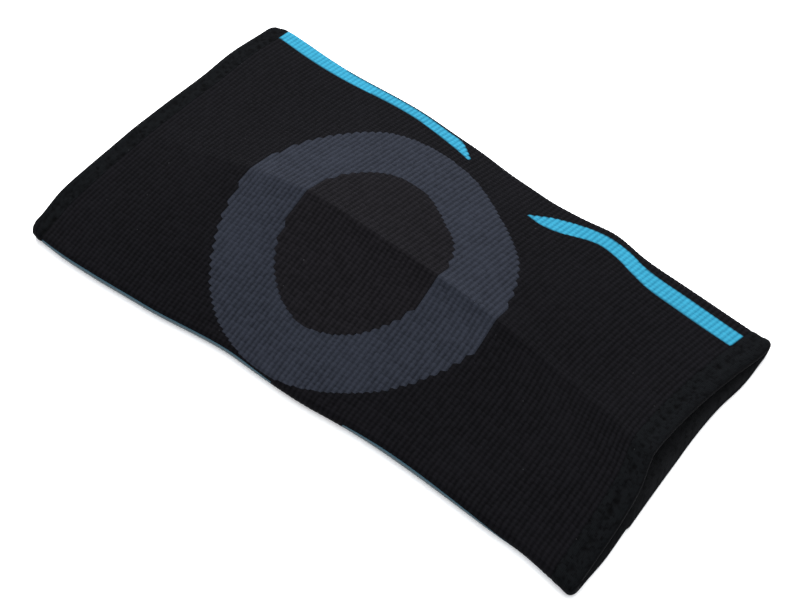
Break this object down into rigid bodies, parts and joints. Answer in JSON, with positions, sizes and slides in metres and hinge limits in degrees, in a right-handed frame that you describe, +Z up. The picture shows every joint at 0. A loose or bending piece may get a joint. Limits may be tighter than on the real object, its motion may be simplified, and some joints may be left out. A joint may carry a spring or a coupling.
{
  "type": "elbow brace",
  "caption": "Knitted elbow compression sleeve lying flat: a hollow black tube with hemmed ends, a grey ring over the elbow and narrow cyan side bands.",
  "frame": {"origin": "middle of the underside of the sleeve's box, on the surface that it lies on", "axes": "+X along the sleeve from the upper arm end to the forearm end, +Y across it to the far side, +Z up"},
  "size_m": [0.225, 0.1316, 0.0214],
  "materials": {
    "black_knit": "matte elastic rib knit",
    "hem_knit": "matte smooth knit, turned in and zigzag stitched",
    "grey_knit": "matte elastic rib knit",
    "cyan_knit": "matte elastic rib knit"
  },
  "bodies": {
    "root": {"sleeve_body": "black_knit", "upper_arm_hem": "hem_knit", "forearm_hem": "hem_knit", "elbow_ring": "grey_knit", "far_upper_arm_band": "cyan_knit", "far_forearm_band": "cyan_knit", "near_upper_arm_band": "cyan_knit", "near_forearm_band": "cyan_knit"}
  },
  "joints": []
}
